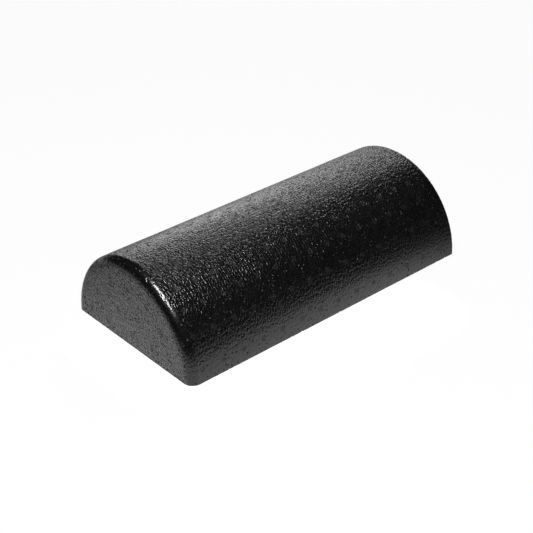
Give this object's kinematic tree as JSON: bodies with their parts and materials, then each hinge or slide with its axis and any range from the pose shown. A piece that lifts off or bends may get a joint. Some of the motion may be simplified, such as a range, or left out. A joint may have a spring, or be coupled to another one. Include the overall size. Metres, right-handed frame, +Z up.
{
  "type": "half round foam roller",
  "caption": "Half round foam roller of moulded bead foam: flat sawn base, half cylinder crown, a rounded moulded end and a square sawn end.",
  "frame": {"origin": "middle of the flat base, on the surface that the roller stands on", "axes": "+X along the roller towards the square sawn end, +Y across the base, +Z up from the flat base to the crown"},
  "size_m": [0.3, 0.1524, 0.075],
  "materials": {
    "bead_foam": "black expanded polypropylene bead foam, pebbled moulded skin with faint vent marks, sawn flat on the base and one end"
  },
  "bodies": {
    "root": {"half_round_foam_block": "bead_foam"}
  },
  "joints": []
}
